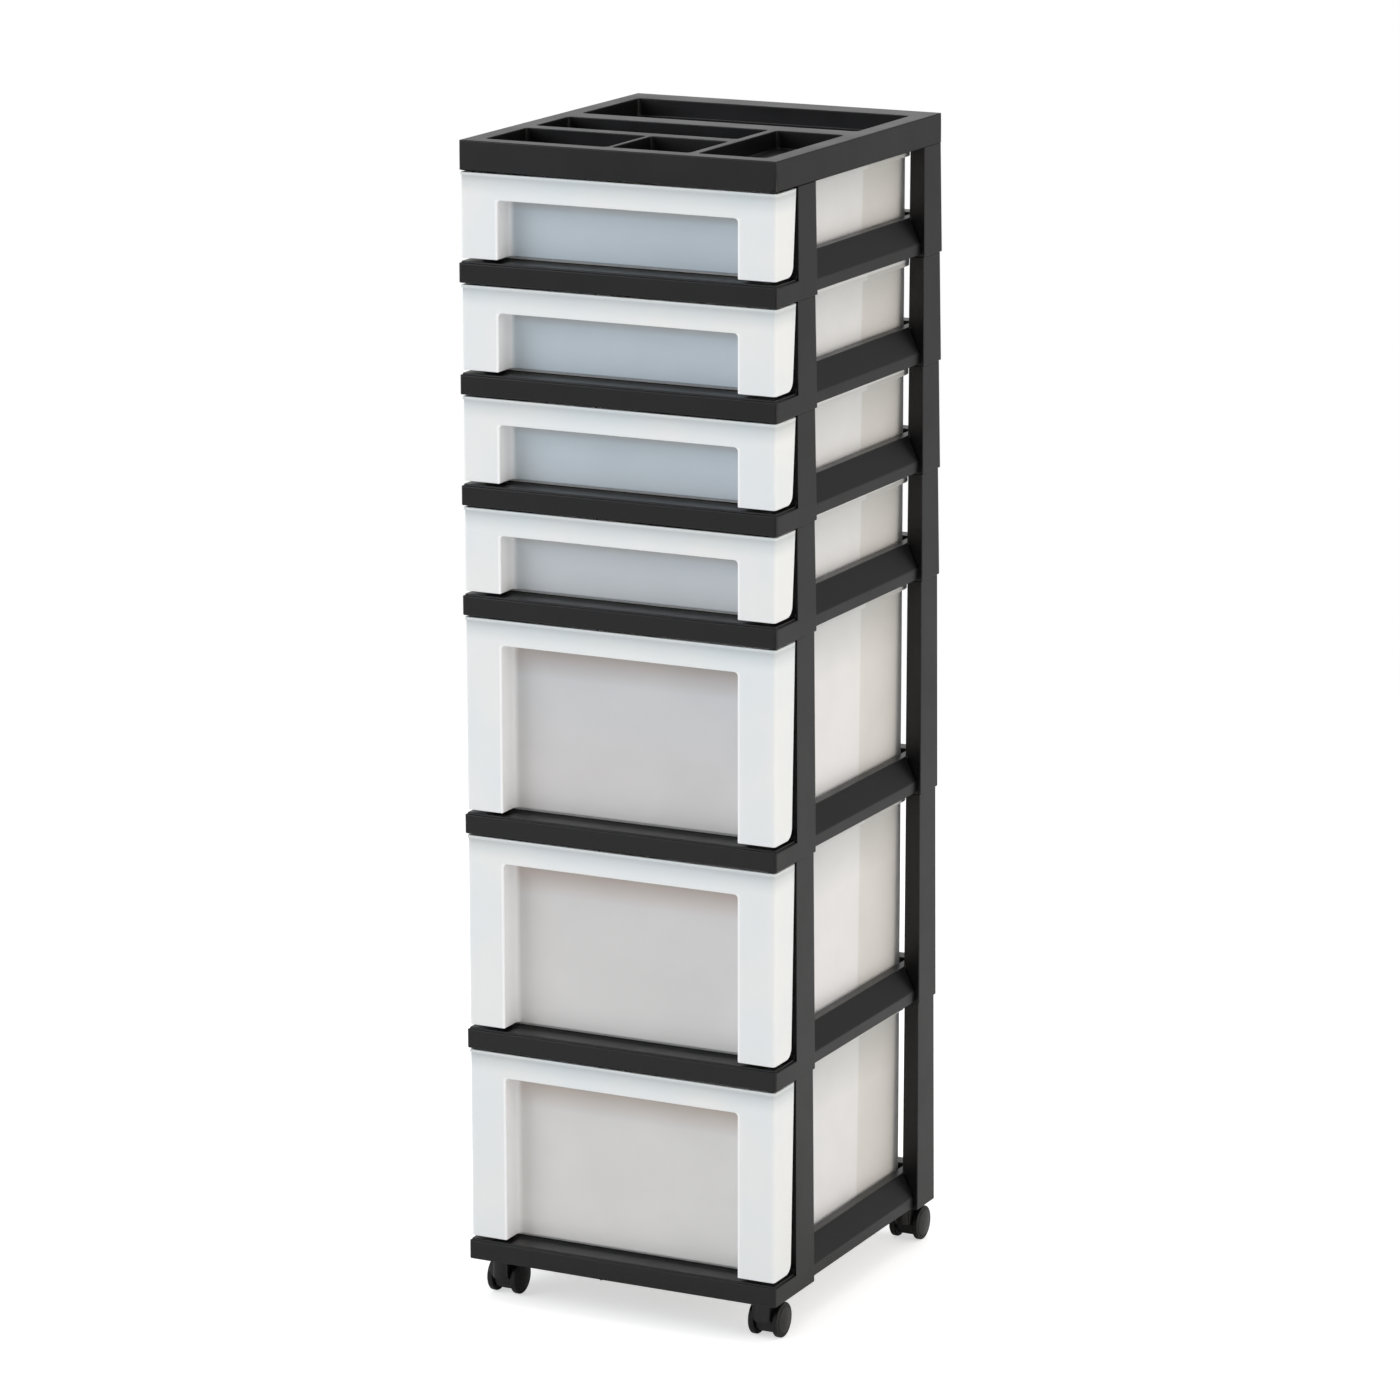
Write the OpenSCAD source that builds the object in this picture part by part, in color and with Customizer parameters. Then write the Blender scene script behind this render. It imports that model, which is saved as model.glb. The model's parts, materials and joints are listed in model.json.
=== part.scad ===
// Rolling drawer tower: seven stacked frames, four shallow and three deep drawers, an open
// compartment tray on top and a twin-wheel caster under each corner.
// Millimetres. +Z is up, the drawers open towards -Y, and z = 0 is the floor.

/* [Tower] */
// Width across the front sills
tower_w = 307; // [280:1:340]
// Depth from the sill fronts to the backs of the rear posts
tower_d = 340; // [320:1:380]
// Height of each of the four upper tiers
shallow_h = 98.5; // [85:0.5:130]
// Height of each of the three lower tiers
deep_h = 198.5; // [150:0.5:240]

/* [Frames] */
// Wall thickness of the frame mouldings
frame_wall = 2.4; // [1.8:0.1:3]
// Height of the sill's front face
sill_h = 17.5; // [15:0.5:22]
// Depth of the sill, from its front face to the front posts
sill_d = 42.5; // [40:0.5:50]
// Radius of the sill's front corners, seen from above
sill_corner_r = 2.5; // [1:0.5:6]
// Radius along the sill's top edge
sill_edge_r = 1.2; // [0.5:0.1:2.5]
// How far the deck stands back from the sill's front and ends
deck_inset = 2; // [1.5:0.5:4]
// How far the deck stands up above the sill's front face
deck_rise = 1.5; // [0.5:0.1:3]
// Width of a post, seen from the front
post_w = 15.5; // [13:0.5:20]
// Width of a post, seen from the side
post_d = 38; // [30:0.5:45]
// How much a post narrows on each outer face towards its top
post_taper = 1.4; // [0:0.1:2]
// Height of the locating spigot on each post
spigot_h = 8; // [5:0.5:12]
// Clearance round each spigot
spigot_gap = 0.3; // [0.2:0.05:0.6]
// Radius where a front post meets the sill
post_foot_r = 4; // [2:0.5:6]
// Height of the side rails above the frame's foot
rail_h = 35; // [30:0.5:42]
// Height of the rear rail above the frame's foot
rear_rail_h = 36; // [30:0.5:42]
// Depth of the rear rail, front to back
rear_rail_d = 16.5; // [14:0.5:20]
// Gap under the side and rear rails, above the frame's foot
rail_lift = 2; // [0:0.5:4]
// Height of the upright band along a side rail's foot
rail_band_h = 10.5; // [6:0.5:14]
// How far a side rail stands in from the sill's end
rail_inset = 4; // [2:0.5:6]
// How far a side rail's face leans in above its band
rail_lean = 10; // [6:0.5:12]
// Width of the ledge along the top of a side rail
ledge_w = 9.3; // [8:0.1:12]
// Gap between the end of a side rail's leaning face and the rear post
rail_end_gap = 2.5; // [1:0.5:5]
// Width of the runner under each side of a drawer
runner_w = 17.5; // [12:0.5:25]
// Thickness of the ribs inside the mouldings
rib_t = 1.6; // [1.2:0.1:2.4]
// Distance from the tower's middle to the moulding gate under each sill
gate_x = 20; // [0:1:60]
// Diameter of the moulding gate's stub
gate_dia = 2; // [1.5:0.1:2.4]
// Height of the moulding gate's stub
gate_h = 0.9; // [0.5:0.1:1]
// Number of ribs under each sill
sill_ribs = 7; // [3:1:11]
// Number of ribs inside each side rail
rail_ribs = 4; // [2:1:8]
// Height of the ribs' lower edges above the frame's foot
rib_lift = 4.5; // [3:0.5:8]
// How far the rear rail's back leans in towards its top
rear_lean = 0.6; // [0:0.1:1.5]

/* [Drawers] */
// Wall thickness of the drawers
drawer_wall = 2; // [1.5:0.1:2.5]
// Side gap between a drawer body and the guides
drawer_gap = 1.4; // [0.8:0.1:2.5]
// Running gap between a drawer's floor and its runners
runner_gap = 0.3; // [0.2:0.05:0.6]
// Gap between a drawer's top and the frame above
drawer_top_gap = 1.6; // [1:0.1:3]
// Gap between a drawer body and the rear rail
drawer_rear_gap = 2.4; // [1.5:0.1:5]
// How far a drawer front stands back from the sill's front
front_setback = 1.6; // [1:0.1:4]
// How far a drawer front stops short of each end of the sill
front_side_gap = 2.1; // [1:0.1:5]
// Gap between a drawer front and the sill's deck
front_foot_gap = 3; // [2:0.1:6]
// Gap between the back of a drawer front and the post, at its top
wing_gap_top = 1; // [0.8:0.1:3]
// Gap between the back of a drawer front and the post, at its foot
wing_gap_foot = 6.5; // [4:0.5:9]
// Radius of the lower rear corner of a drawer front
wing_r = 10; // [5:0.5:12]
// Width of the upright on each side of the window
stile_w = 36; // [30:0.5:45]
// Height of the band above the window
top_band_h = 23; // [18:0.5:28]
// Depth of the window's recess
recess_d = 24; // [18:0.5:26]
// Distance from the window's face back to the step down in the drawer's floor
floor_step_y = 3.4; // [2.5:0.1:5]
// Radius of the window's upper corners
window_r = 3.5; // [2:0.5:6]
// Radius of the fillet where the recess meets the window
recess_r = 5; // [2:0.5:8]
// How much a drawer body narrows on each side towards its floor
drawer_draft = 2; // [0:0.1:3]
// Radius of the drawer body's upright corners
drawer_r = 11; // [6:0.5:13]
// Radius of the upright front corners of a drawer front
front_r = 3; // [2:0.5:6]
// How far the rim stands out round a drawer body
rim_out = 4.4; // [3:0.1:5]
// Height of the turned-down rim
rim_h = 9; // [6:0.5:12]
// Height of the bead along the top of a drawer front
bead_h = 2.6; // [1.5:0.1:4]
// How far the bead stands out of the drawer front
bead_out = 0.8; // [0.4:0.1:1.2]
// How far a drawer slides before its stops meet the deck's rear edge
drawer_travel = 220; // [150:5:223]
// Width of each stop under a drawer's floor
stop_w = 26; // [10:1:40]
// Depth of each stop, front to back
stop_d = 3; // [2:0.5:3.5]
// How far the stops hang below the top of the deck
stop_drop = 1.8; // [1:0.1:2.2]

/* [Tray] */
// Height of the tray
tray_h = 26.2; // [22:0.2:34]
// Wall thickness of the tray
tray_wall = 2.4; // [1.8:0.1:3]
// How far the tray stands in from each end of the sills
tray_side_inset = 0.5; // [0:0.1:2]
// How much the tray narrows on each side towards its top
tray_draft = 1; // [0:0.1:2]
// Radius of the tray's upright corners
tray_r = 4.5; // [3:0.5:8]
// Radius along the tray's top edge
tray_edge_r = 1.2; // [0.6:0.1:2]
// Width of the tray's rim at the sides
tray_rim_side = 18; // [17:0.5:22]
// Width of the tray's rim at the front
tray_rim_front = 17; // [14:0.5:22]
// Width of the tray's rim at the back
tray_rim_back = 32; // [24:0.5:36]
// Depth of the compartments
well_depth = 16; // [10:0.5:20]
// Radius of the compartments' upright corners
well_r = 4; // [2.5:0.5:6]
// Front-to-back size of the two small compartments
small_well_d = 76; // [60:1:85]
// Width of the bar behind the small compartments
front_bar = 16; // [10:0.5:20]
// Front-to-back size of the long compartment
long_well_d = 63; // [50:1:70]
// Width of the bar in front of the rear compartment
rear_bar = 25; // [16:0.5:30]
// Width of the compartment on the right
right_well_w = 65; // [50:1:75]
// Width of the bar beside the right compartment
right_bar = 8; // [5:0.5:12]
// Width of the bar between the two small compartments
small_bar = 4.5; // [4:0.5:8]
// Share of the front row's width that the left small compartment takes
small_split = 0.61; // [0.4:0.01:0.7]

/* [Casters] */
// Height of a caster, floor to frame
caster_h = 38.7; // [37:0.1:45]
// Diameter of a caster wheel
wheel_dia = 32; // [28:1:34]
// Width of a wheel at its tread
wheel_w = 5.4; // [4:0.1:8]
// How far a wheel's outer face bulges
wheel_dome = 1.8; // [0.5:0.1:3]
// Width of the caster housing between its wheels
housing_w = 17; // [17:0.5:20]
// Gap between the housing and each wheel
wheel_gap = 0.5; // [0.4:0.1:1]
// Distance from the swivel axis to the axle
caster_trail = 14; // [12:0.5:16]
// Distance from each end of the sills to the swivel axes
caster_inset = 22; // [20.5:0.5:25.5]
// Distance from each end of the tower's depth to the swivel axes
caster_setback = 20.2; // [19:0.1:24]
// Diameter of the steel stem
stem_dia = 8; // [7:0.5:8]
// How far the stem reaches up into its boss
stem_reach = 14; // [10:0.5:15]
// How far the stem reaches down into the housing
stem_socket = 14; // [10:0.5:15]
// Diameter of the axle
axle_dia = 4; // [3:0.5:5]
// Radial clearance of the stem and the axle in their bores
pin_gap = 0.06; // [0.03:0.01:0.1]
// Clearance at the ends of the stem and the axle, and under the collar
end_gap = 0.3; // [0.2:0.05:0.4]

/* [Hidden] */
$fn = 48;
tier_h = [shallow_h, shallow_h, shallow_h, shallow_h, deep_h, deep_h, deep_h];
tiers = len(tier_h);
last = tiers - 1;
eps = 0.01;
over = 5;

// The rear wheels trail out behind the posts, and y = 0 is the middle of the whole footprint.
wheel_r = wheel_dia / 2;
wheel_overhang = max(0, caster_trail + wheel_r - caster_setback);

// outlines shared by every frame
half_w = tower_w / 2;
front_y = -(tower_d + wheel_overhang) / 2;
rear_y = front_y + tower_d;
post_in = half_w - post_w;
front_post_y = front_y + sill_d;
rear_post_y = rear_y - post_d;
deck_z = sill_h + deck_rise;
deck_foot = deck_z - frame_wall;
deck_back_y = front_post_y + post_d - frame_wall;
rear_rail_y = rear_y - rear_rail_d;

// the side rail's section: face, ledge, guide and runner
rail_out = half_w - rail_inset;
ledge_out = rail_out - rail_lean;
guide_x = ledge_out - ledge_w;
runner_in = guide_x - runner_w;
band_top = rail_lift + rail_band_h;
band_in_z = band_top - frame_wall * rail_lean / (rail_h - band_top) / 2;

// the drawer
body_w = 2 * (guide_x - drawer_gap);
body_foot = deck_z + runner_gap;
body_rear_y = rear_rail_y - drawer_rear_gap;
drawer_front_y = front_y + front_setback;
front_w = 2 * (half_w - front_side_gap);
front_foot = deck_z + front_foot_gap;
panel_y = drawer_front_y + recess_d;
window_w = front_w - 2 * stile_w;
body_front_y = panel_y + floor_step_y;
stop_y = deck_back_y + drawer_travel;

// the tray
tray_w = tower_w - 2 * tray_side_inset;
well_foot = tray_h - well_depth;
pocket_h = spigot_h + 1;
field_x = tray_w / 2 - tray_rim_side;
field_front = front_y + tray_rim_front;
field_back = rear_y - tray_rim_back;
long_front = field_front + small_well_d + front_bar;
rear_front = long_front + long_well_d + rear_bar;
right_x = field_x - right_well_w;
row_right = right_x - right_bar;
split_x = -field_x + small_split * (row_right + field_x);
// each compartment: left, right, front and back
wells = [
    [-field_x, split_x - small_bar / 2, field_front, field_front + small_well_d],
    [split_x + small_bar / 2, row_right, field_front, field_front + small_well_d],
    [-field_x, row_right, long_front, long_front + long_well_d],
    [right_x, field_x, field_front, long_front + long_well_d],
    [-field_x, field_x, rear_front, field_back]
];

// the casters: each corner's name and its swivel axis
collar_h = 1.8;
collar_r = stem_dia / 2 + 2.5;
boss_r = stem_dia / 2 + 3.2;
housing_top = caster_h - collar_h - end_gap;
housing_r = wheel_r - 3.5;
hub_floor = 1;
caster_x = half_w - caster_inset;
front_caster_y = front_y + caster_setback;
rear_caster_y = rear_y - caster_setback;
corners = [
    ["front_left", [-caster_x, front_caster_y, 0]], ["front_right", [caster_x, front_caster_y, 0]],
    ["rear_left", [-caster_x, rear_caster_y, 0]], ["rear_right", [caster_x, rear_caster_y, 0]]
];

frame_black = "#2b2a2c";
frosted = "#e6e9ea";
caster_black = "#232326";
steel = "#b9bcc0";

function sum_from(list, i) = i >= len(list) ? 0 : list[i] + sum_from(list, i + 1);
function tier_z(i) = caster_h + sum_from(tier_h, i + 1);
tray_z = caster_h + sum_from(tier_h, 0);

// ---- shared forms ----

// a rectangle from one corner to the other with round corners, as true arcs
module round_rect(low, high, r) {
    translate([low.x + r, low.y]) square([high.x - low.x - 2 * r, high.y - low.y]);
    translate([low.x, low.y + r]) square([high.x - low.x, high.y - low.y - 2 * r]);
    for (x = [low.x + r, high.x - r], y = [low.y + r, high.y - r])
        translate([x, y]) circle(r);
}

// carries a section drawn as x and z along the Y axis, from one y to another
module along_y(from, to) {
    translate([0, to, 0]) rotate([90, 0, 0]) linear_extrude(to - from) children();
}

// carries a section drawn as y and z along the X axis, from one x to another
module along_x(from, to) {
    translate([from, 0, 0]) rotate([90, 0, 90]) linear_extrude(to - from) children();
}

module box(low, high) {
    translate(low) cube(high - low);
}

module both_sides() {
    children();
    mirror([1, 0, 0]) children();
}

// ---- frames ----

// an upright that narrows on its three outer faces; y0 is its front face at the foot
module post(y0, h) {
    y1 = y0 + post_d;
    intersection() {
        along_y(y0, y1) polygon([
            [post_in, 0], [half_w, 0], [half_w - post_taper, h], [post_in, h]
        ]);
        along_x(post_in, half_w) polygon([
            [y0, 0], [y1, 0], [y1 - post_taper, h], [y0 + post_taper, h]
        ]);
    }
    box(
        [post_in + frame_wall + spigot_gap, y0 + post_taper + frame_wall + spigot_gap, h - eps],
        [half_w - post_taper - frame_wall - spigot_gap, y1 - post_taper - frame_wall - spigot_gap, h + spigot_h]
    );
}

// the hollow that takes the spigot of the post below
module post_hollow(y0, h) {
    box(
        [post_in + frame_wall, y0 + post_taper + frame_wall, -over],
        [half_w - post_taper - frame_wall, y0 + post_d - post_taper - frame_wall, h - frame_wall]
    );
}

// the beam under the drawer's front, with a soft top edge; its ends run into the front posts
module sill_block() {
    intersection() {
        linear_extrude(sill_h)
            round_rect([-half_w, front_y], [half_w, front_post_y + over], sill_corner_r);
        along_x(-half_w, half_w) round_rect([front_y, -over], [front_post_y + over, sill_h], sill_edge_r);
        along_y(front_y, front_post_y + post_taper) round_rect([-half_w, -over], [half_w, sill_h], sill_edge_r);
    }
}

module sill_hollow() {
    box(
        [-half_w + frame_wall, front_y + frame_wall, -over],
        [half_w - frame_wall, front_post_y, deck_foot]
    );
    box([-post_in, front_post_y - eps, -over], [post_in, front_post_y + over, deck_foot]);
}

module sill_ribbing() {
    pitch = (tower_w - 2 * frame_wall) / (sill_ribs + 1);
    for (i = [1 : sill_ribs])
        translate([-half_w + frame_wall + i * pitch - rib_t / 2, front_y + frame_wall - eps, rib_lift])
            cube([rib_t, sill_d - frame_wall, deck_foot - rib_lift + eps]);
}

// the stub that the moulding's gate leaves on the lower edge of the sill's front wall
module gate_stub() {
    translate([-gate_x, front_y + frame_wall / 2, -gate_h]) cylinder(d = gate_dia, h = gate_h + 1);
}

// the plate that the drawer slides over, raised a step above the sill's face
module deck() {
    box(
        [-half_w + deck_inset, front_y + deck_inset, deck_foot],
        [half_w - deck_inset, front_post_y + eps, deck_z]
    );
    box([-post_in - eps, front_post_y, deck_foot], [post_in + eps, deck_back_y, deck_z]);
    box(
        [-post_in - frame_wall, front_post_y - frame_wall, rail_lift],
        [post_in + frame_wall, front_post_y + eps, deck_foot + eps]
    );
}

// a concave fillet where the front post rises from the sill
module post_foot() {
    x0 = post_in;
    x1 = half_w - deck_inset;
    translate([0, front_post_y - post_foot_r, deck_z])
        along_x(x0, x1) difference() {
            translate([0, -eps]) square([post_foot_r + post_taper, post_foot_r + eps]);
            translate([0, post_foot_r]) circle(post_foot_r);
        }
}

// runner, guide and ledge in one thin section, x and z
module guide_section() {
    polygon([
        [runner_in, deck_foot], [runner_in, deck_z], [guide_x, deck_z], [guide_x, rail_h],
        [ledge_out, rail_h], [ledge_out, rail_h - frame_wall],
        [guide_x + frame_wall, rail_h - frame_wall], [guide_x + frame_wall, deck_foot]
    ]);
}

// the leaning face of the side rail and the upright band under it
module face_section() {
    polygon([
        [ledge_out - frame_wall, rail_h], [ledge_out, rail_h], [rail_out, band_top],
        [rail_out, rail_lift], [rail_out - frame_wall, rail_lift],
        [rail_out - frame_wall, band_in_z], [ledge_out - frame_wall, rail_h - frame_wall]
    ]);
}

module band_section() {
    translate([rail_out - frame_wall, rail_lift]) square([frame_wall, rail_band_h]);
}

module rail_rib_section() {
    polygon([
        [guide_x + frame_wall - eps, rail_h - frame_wall + eps], [ledge_out - frame_wall, rail_h - frame_wall + eps],
        [rail_out - frame_wall + eps, band_in_z], [rail_out - frame_wall + eps, rib_lift],
        [guide_x + frame_wall - eps, deck_foot]
    ]);
}

module side_rail() {
    from = front_post_y + post_d - post_taper;
    to = rear_post_y;
    pitch = (to - from) / (rail_ribs + 1);
    along_y(front_post_y, rear_rail_y + frame_wall) guide_section();
    along_y(from - frame_wall / 2, to - rail_end_gap) face_section();
    along_y(from - frame_wall / 2, to + eps) band_section();
    for (y = [front_post_y, rear_post_y])
        box([ledge_out - eps, y + post_taper, rail_h - frame_wall], [post_in + over, y + post_d - post_taper, rail_h]);
    for (i = [1 : rail_ribs])
        along_y(from + i * pitch - rib_t / 2, from + i * pitch + rib_t / 2) rail_rib_section();
}

// an inverted trough across the back, and the plate that closes the runners behind the drawer
module rear_rail() {
    along_x(-post_in - frame_wall / 2, post_in + frame_wall / 2) polygon([
        [rear_rail_y, rail_lift], [rear_rail_y, rear_rail_h], [rear_y - rear_lean, rear_rail_h],
        [rear_y, rail_lift], [rear_y - frame_wall, rail_lift],
        [rear_y - frame_wall - rear_lean, rear_rail_h - frame_wall],
        [rear_rail_y + frame_wall, rear_rail_h - frame_wall], [rear_rail_y + frame_wall, rail_lift]
    ]);
    box(
        [-guide_x - frame_wall, rear_post_y + post_taper, deck_foot],
        [guide_x + frame_wall, rear_rail_y + eps, deck_z]
    );
}

// one moulding: sill, deck, four posts, two side rails and the rear rail
module tier_frame(h) {
    color(frame_black) {
        difference() {
            union() {
                sill_block();
                both_sides() {
                    post(front_post_y, h);
                    post(rear_post_y, h);
                }
            }
            sill_hollow();
            both_sides() {
                post_hollow(front_post_y, h);
                post_hollow(rear_post_y, h);
            }
        }
        sill_ribbing();
        gate_stub();
        deck();
        both_sides() {
            side_rail();
            post_foot();
        }
        rear_rail();
    }
}

// the lowest frame also has a boss over each caster for its stem
module base_frame(h) {
    color(frame_black) difference() {
        union() {
            tier_frame(h);
            for (c = corners)
                translate(c[1]) cylinder(r = boss_r, h = deck_foot + eps);
        }
        for (c = corners)
            translate(c[1] - [0, 0, over]) cylinder(r = stem_dia / 2 + pin_gap, h = over + stem_reach + 1);
    }
}

// ---- drawers ----
// Each form takes g, how far it is drawn in from the outer skin: 0 outside, the wall thickness inside.

function drawer_top(h) = h - drawer_top_gap;
function window_top(h) = drawer_top(h) - top_band_h;

// the side view of the drawer's front, deeper at its top than at its foot
module front_section(h, g) {
    r = wing_r - g;
    foot = front_foot + g;
    rear_top = front_post_y - wing_gap_top - g;
    rear_foot = front_post_y - wing_gap_foot - g;
    polygon([
        [drawer_front_y + g, foot], [rear_foot - r, foot], [rear_foot, foot + r],
        [rear_top, drawer_top(h)], [rear_top, drawer_top(h) + g], [drawer_front_y + g, drawer_top(h) + g]
    ]);
    translate([rear_foot - r, foot + r]) circle(r);
}

module front_form(h, g) {
    half = front_w / 2 - g;
    intersection() {
        along_x(-half, half) front_section(h, g);
        linear_extrude(h + over)
            round_rect([-half, drawer_front_y + g], [half, front_post_y + over], front_r - g / 2);
    }
}

// the box behind the front, with a little draft on its sides
module body_form(h, g) {
    half = body_w / 2 - g;
    foot = body_foot + g;
    top = drawer_top(h) + g;
    intersection() {
        translate([0, 0, foot]) linear_extrude(top - foot)
            round_rect([-half, body_front_y + g], [half, body_rear_y - g], drawer_r - g);
        along_y(body_front_y, body_rear_y)
            polygon([[drawer_draft - half, foot], [half - drawer_draft, foot], [half, top], [-half, top]]);
    }
}

// the recess in front of the window, open at its foot, with a fillet round the window
module window_recess(h, g) {
    half = window_w / 2 + g;
    top = window_top(h) + g;
    back = panel_y + g;
    r = recess_r + g;
    intersection() {
        along_y(drawer_front_y - over, back) round_rect([-half, -over], [half, top], window_r + g);
        along_x(-half, half) round_rect([drawer_front_y - over - r, -over], [back, top], r);
        linear_extrude(top) round_rect([-half, drawer_front_y - over - r], [half, back], r);
    }
}

module drawer_form(h, g) {
    difference() {
        union() {
            front_form(h, g);
            body_form(h, g);
        }
        window_recess(h, g);
    }
}

module rim_prism(h, out, foot, top) {
    half = body_w / 2 + out;
    translate([0, 0, foot]) linear_extrude(top - foot)
        round_rect([-half, body_front_y], [half, body_rear_y + out], drawer_r + out);
}

// the turned-down rim round the body
module drawer_rim(h) {
    top = drawer_top(h);
    difference() {
        rim_prism(h, rim_out, top - rim_h, top);
        rim_prism(h, rim_out - drawer_wall, top - rim_h - over, top - drawer_wall);
    }
}

// the bead that the upper edge of the front ends in
module front_bead(h) {
    half = front_w / 2 + bead_out;
    translate([0, 0, drawer_top(h) - bead_h]) linear_extrude(bead_h)
        round_rect([-half, drawer_front_y - bead_out], [half, front_post_y - wing_gap_top], front_r);
}

// two stops under the floor that meet the deck's rear edge when the drawer is out
module drawer_stops() {
    for (x = [-body_w / 6, body_w / 6])
        translate([x - stop_w / 2, stop_y + runner_gap, deck_z - stop_drop])
            cube([stop_w, stop_d, stop_drop + runner_gap + eps]);
}

module drawer(h) {
    color(frosted) {
        difference() {
            union() {
                drawer_form(h, 0);
                drawer_rim(h);
                front_bead(h);
            }
            drawer_form(h, drawer_wall);
        }
        drawer_stops();
    }
}

// ---- tray ----

// a block's end view, leaning in towards its top, with soft upper edges
module soft_section(low, high, h, draft, r) {
    polygon([
        [low, -over], [low, 0], [low + draft, h - r], [low + draft + r, h],
        [high - draft - r, h], [high - draft, h - r], [high, 0], [high, -over]
    ]);
    for (x = [low + draft + r, high - draft - r])
        translate([x, h - r]) circle(r);
}

module tray_block() {
    half = tray_w / 2;
    intersection() {
        linear_extrude(tray_h) round_rect([-half, front_y], [half, rear_y], tray_r);
        along_y(front_y, rear_y) soft_section(-half, half, tray_h, tray_draft, tray_edge_r);
        along_x(-half, half) soft_section(front_y, rear_y, tray_h, tray_draft, tray_edge_r);
    }
}

module well(w, g) {
    translate([0, 0, well_foot - g]) linear_extrude(tray_h)
        round_rect([w[0] - g, w[2] - g], [w[1] + g, w[3] + g], well_r + g);
}

// a foot over each post, with a pocket for the post's spigot
module tray_foot(y0, pocket) {
    inset = pocket ? frame_wall : 0;
    box(
        [post_in + inset, y0 + post_taper + inset, pocket ? -over : 0],
        [half_w - post_taper - inset, y0 + post_d - post_taper - inset, pocket ? pocket_h : pocket_h + tray_wall]
    );
}

module top_tray() {
    color(frame_black) translate([0, 0, tray_z]) difference() {
        union() {
            difference() {
                tray_block();
                box(
                    [tray_wall - tray_w / 2, front_y + tray_wall, -over],
                    [tray_w / 2 - tray_wall, rear_y - tray_wall, tray_h - tray_wall]
                );
            }
            intersection() {
                union() for (w = wells) well(w, tray_wall);
                box([-half_w, front_y + 1, 0], [half_w, rear_y - 1, tray_h - 1]);
            }
            both_sides() {
                tray_foot(front_post_y, false);
                tray_foot(rear_post_y, false);
            }
        }
        for (w = wells) well(w, 0);
        both_sides() {
            tray_foot(front_post_y, true);
            tray_foot(rear_post_y, true);
        }
    }
}

// ---- casters ----
// Drawn round the swivel axis, with the axle behind it at the trail.

// the steel stem: shank, collar under the frame, and the end that turns in the housing
module caster_stem() {
    r = stem_dia / 2;
    foot = housing_top - stem_socket;
    tip = caster_h + stem_reach;
    chamfer = 1;
    color(steel) rotate_extrude() polygon([
        [0, foot], [r, foot], [r, caster_h - collar_h], [collar_r, caster_h - collar_h],
        [collar_r, caster_h], [r, caster_h], [r, tip - chamfer], [r - chamfer, tip], [0, tip]
    ]);
}

// the body between the wheels: a column round the stem that runs back into a disc round the axle
module caster_housing() {
    column_r = housing_w / 2 - 0.3;
    column_h = stem_socket + 4;
    neck = -0.6 * column_r;
    nose = 0.75 * housing_r * [cos(50), sin(50)];
    heel = 0.75 * housing_r * [cos(205), sin(205)];
    color(caster_black) difference() {
        union() {
            along_x(-housing_w / 2, housing_w / 2) {
                translate([caster_trail, wheel_r]) circle(housing_r);
                polygon([
                    [neck, housing_top], [column_r, housing_top],
                    [caster_trail + nose.x, wheel_r + nose.y], [caster_trail + heel.x, wheel_r + heel.y],
                    [neck, housing_top - column_h + 2]
                ]);
            }
            translate([0, 0, housing_top - column_h]) cylinder(r = column_r, h = column_h);
        }
        translate([0, 0, housing_top - stem_socket - end_gap])
            cylinder(r = stem_dia / 2 + pin_gap, h = stem_socket + end_gap + over);
        translate([-housing_w, caster_trail, wheel_r]) rotate([0, 90, 0])
            cylinder(r = axle_dia / 2 + pin_gap, h = 2 * housing_w);
    }
}

module caster_axle() {
    reach = housing_w / 2 + wheel_gap + wheel_w - hub_floor - end_gap;
    color(steel) translate([-reach, caster_trail, wheel_r]) rotate([0, 90, 0])
        cylinder(r = axle_dia / 2, h = 2 * reach);
}

// half of a wheel's section: radius across, width up from its inner face
module wheel_section() {
    edge = 1.3;
    face_r = wheel_r - edge;
    dome_r = (pow(face_r, 2) + pow(wheel_dome, 2)) / (2 * wheel_dome);
    hub_r = axle_dia / 2 + 2.5;
    hollow_r = wheel_r - 3;
    difference() {
        union() {
            square([face_r, wheel_w]);
            translate([0, edge]) square([wheel_r, wheel_w - 2 * edge]);
            for (x = [edge, wheel_w - edge]) translate([face_r, x]) circle(edge);
            intersection() {
                translate([0, wheel_w + wheel_dome - dome_r]) circle(dome_r, $fn = 240);
                translate([0, wheel_w - edge]) square([face_r, 2 * wheel_dome]);
            }
        }
        translate([-over, -over]) square([over + axle_dia / 2 + pin_gap, over + wheel_w - hub_floor]);
        translate([hub_r, -over]) square([hollow_r - hub_r, over + wheel_w / 3]);
    }
}

module caster_wheel(side) {
    color(caster_black) translate([side * (housing_w / 2 + wheel_gap), caster_trail, wheel_r])
        rotate([0, side * 90, 0]) rotate_extrude($fn = 64) wheel_section();
}

top_tray();
for (i = [0 : last]) {
    translate([0, 0, tier_z(i)]) {
        if (i == last) base_frame(tier_h[i]);
        else tier_frame(tier_h[i]);
    }
    translate([0, 0, tier_z(i)]) drawer(tier_h[i]);
}
for (c = corners) {
    name = str("caster_", c[0], "_");
    translate(c[1]) caster_stem();
    translate(c[1]) caster_housing();
    translate(c[1]) caster_axle();
    translate(c[1]) caster_wheel(-1);
    translate(c[1]) caster_wheel(1);
}
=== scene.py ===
import json
import math

import bmesh
import bpy
import numpy as np
from mathutils import Matrix, Vector


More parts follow.
